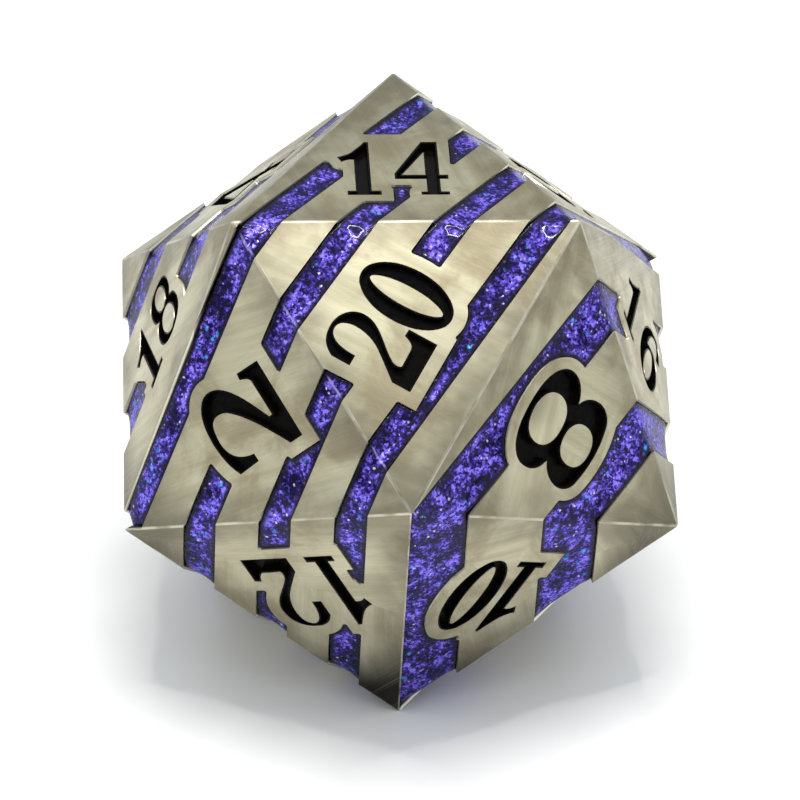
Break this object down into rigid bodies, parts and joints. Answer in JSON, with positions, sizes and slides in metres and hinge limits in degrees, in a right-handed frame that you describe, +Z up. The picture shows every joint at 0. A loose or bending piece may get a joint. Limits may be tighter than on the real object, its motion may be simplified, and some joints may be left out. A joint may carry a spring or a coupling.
{
  "type": "twenty-sided polyhedral die",
  "caption": "Regular icosahedral gaming die: cast metal body with painted engraved numerals and recessed glitter enamel stripes.",
  "frame": {"origin": "middle of the face numbered 7, on which the die rests", "axes": "+Z up, out of the face numbered 14; +X along the edge shared by faces 14 and 20; the face numbered 20 looks towards -Y and up"},
  "size_m": [0.0374, 0.0432, 0.035],
  "materials": {
    "die_metal": "antique silver plate over cast zinc alloy, lightly brushed",
    "glitter_enamel": "violet glitter resin enamel under a clear gloss",
    "numeral_paint": "gloss black paint"
  },
  "bodies": {
    "root": {"die_body": "die_metal", "enamel_stripe_1_long": "glitter_enamel", "enamel_stripe_2_long": "glitter_enamel", "enamel_stripe_2_on_05_18": "glitter_enamel", "enamel_stripe_3_long": "glitter_enamel", "enamel_stripe_3_on_06_09_14": "glitter_enamel", "enamel_stripe_4_on_01_07_15": "glitter_enamel", "enamel_stripe_4_on_01_09_19": "glitter_enamel", "enamel_stripe_4_on_02_12_15": "glitter_enamel", "enamel_stripe_4_on_02_14_20": "glitter_enamel", "enamel_stripe_4_on_06_09_14": "glitter_enamel", "enamel_stripe_5_on_01_07_19": "glitter_enamel", "enamel_stripe_5_on_02_12_20": "glitter_enamel", "enamel_stripe_5_on_06_09_19": "glitter_enamel", "enamel_stripe_5_on_06_14_20": "glitter_enamel", "enamel_stripe_5_on_07": "glitter_enamel", "enamel_stripe_5_on_07_12_15": "glitter_enamel", "enamel_stripe_6_long": "glitter_enamel", "enamel_stripe_6_on_07_12_15": "glitter_enamel", "enamel_stripe_7_long": "glitter_enamel", "enamel_stripe_7_on_03_16": "glitter_enamel", "enamel_stripe_8_long": "glitter_enamel", "numeral_paint_01": "numeral_paint", "numeral_paint_02": "numeral_paint", "numeral_paint_03": "numeral_paint", "numeral_paint_04": "numeral_paint", "numeral_paint_05": "numeral_paint", "numeral_paint_06": "numeral_paint", "numeral_paint_07": "numeral_paint", "numeral_paint_08": "numeral_paint", "numeral_paint_09": "numeral_paint", "numeral_paint_10": "numeral_paint", "numeral_paint_11": "numeral_paint", "numeral_paint_12": "numeral_paint", "numeral_paint_13": "numeral_paint", "numeral_paint_14": "numeral_paint", "numeral_paint_15": "numeral_paint", "numeral_paint_16": "numeral_paint", "numeral_paint_17": "numeral_paint", "numeral_paint_18": "numeral_paint", "numeral_paint_19": "numeral_paint", "numeral_paint_20": "numeral_paint"}
  },
  "joints": []
}
